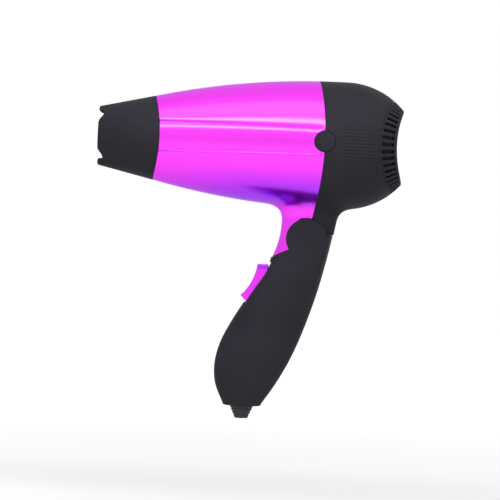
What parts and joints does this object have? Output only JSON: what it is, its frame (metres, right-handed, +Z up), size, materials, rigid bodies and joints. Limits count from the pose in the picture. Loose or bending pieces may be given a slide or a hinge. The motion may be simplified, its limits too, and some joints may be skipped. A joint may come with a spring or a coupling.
{
  "type": "hair dryer",
  "caption": "Folding travel hair dryer: tapered barrel, push-on concentrator nozzle, ribbed rear intake and a hinged grip with a rocker switch.",
  "frame": {"origin": "on the barrel's axis, at the centre line of the two round side caps", "axes": "+X along the barrel towards the rear air intake, so the nozzle points to -X; +Z up, so the unfolded handle hangs down; +Y to the side that the handle's screws enter from"},
  "size_m": [0.1821, 0.0764, 0.2036],
  "materials": {
    "soft_black": "soft-touch rubber-feel paint, charcoal",
    "magenta_shell": "metallic magenta lacquer",
    "steel": "plain steel",
    "copper": "bare copper",
    "nichrome": "resistance wire",
    "mica": "pressed mica sheet",
    "black_plastic": "moulded heat-proof plastic",
    "white_plastic": "moulded nylon",
    "ferrite": "sintered ferrite",
    "circuit_board": "glass-fibre board",
    "bimetal": "bimetal and tinned leads",
    "insulated_wire": "silicone-insulated wire"
  },
  "bodies": {
    "head": {"rear_shell": "soft_black", "rear_grille": "soft_black", "side_cap_left": "soft_black", "side_cap_right": "soft_black", "front_shell": "magenta_shell", "case_screws": "steel", "motor_can": "steel", "motor_screws": "steel", "hinge_washer_left": "steel", "hinge_washer_right": "steel", "inlet_mesh": "steel", "motor_bearings": "steel", "motor_terminals": "copper", "heating_coil": "nichrome", "heat_shield": "mica", "mica_board_upright": "mica", "mica_board_flat": "mica", "outlet_grille": "black_plastic", "rectifier_diodes": "black_plastic", "fan_duct": "white_plastic", "motor_end_cap": "white_plastic", "hinge_bush_left": "white_plastic", "hinge_bush_right": "white_plastic", "motor_magnets": "ferrite", "rectifier_board": "circuit_board", "thermostat": "bimetal", "thermal_fuse": "bimetal", "head_wires": "insulated_wire"},
    "fan": {"impeller": "white_plastic", "motor_shaft": "steel", "rotor_core": "steel", "rotor_windings": "copper", "commutator": "copper"},
    "handle": {"handle_left": "soft_black", "handle_right": "soft_black", "handle_screws": "steel", "switch_body": "black_plastic", "switch_terminals": "copper", "rocker_pin": "steel", "cord_gland": "soft_black", "cord_clamp": "black_plastic", "handle_wires": "insulated_wire", "hinge_wires": "insulated_wire"},
    "rocker": {"rocker": "magenta_shell"},
    "nozzle": {"nozzle": "soft_black"}
  },
  "joints": [
    {"name": "handle_fold", "type": "hinge", "parent": "head", "child": "handle", "pos_m": [-0.0078, 0, -0.0569], "axis": [0, 1, 0], "range_deg": [0, 65]},
    {"name": "fan_spin", "type": "hinge", "parent": "head", "child": "fan", "pos_m": [0, 0, 0], "axis": [1, 0, 0], "continuous": true},
    {"name": "rocker_press", "type": "hinge", "parent": "handle", "child": "rocker", "pos_m": [-0.0342, 0, -0.0876], "axis": [0, 1, 0], "range_deg": [0, 13.5]},
    {"name": "nozzle_pull", "type": "slide", "parent": "head", "child": "nozzle", "axis": [-1, 0, 0], "range_m": [0, 0.02]}
  ]
}
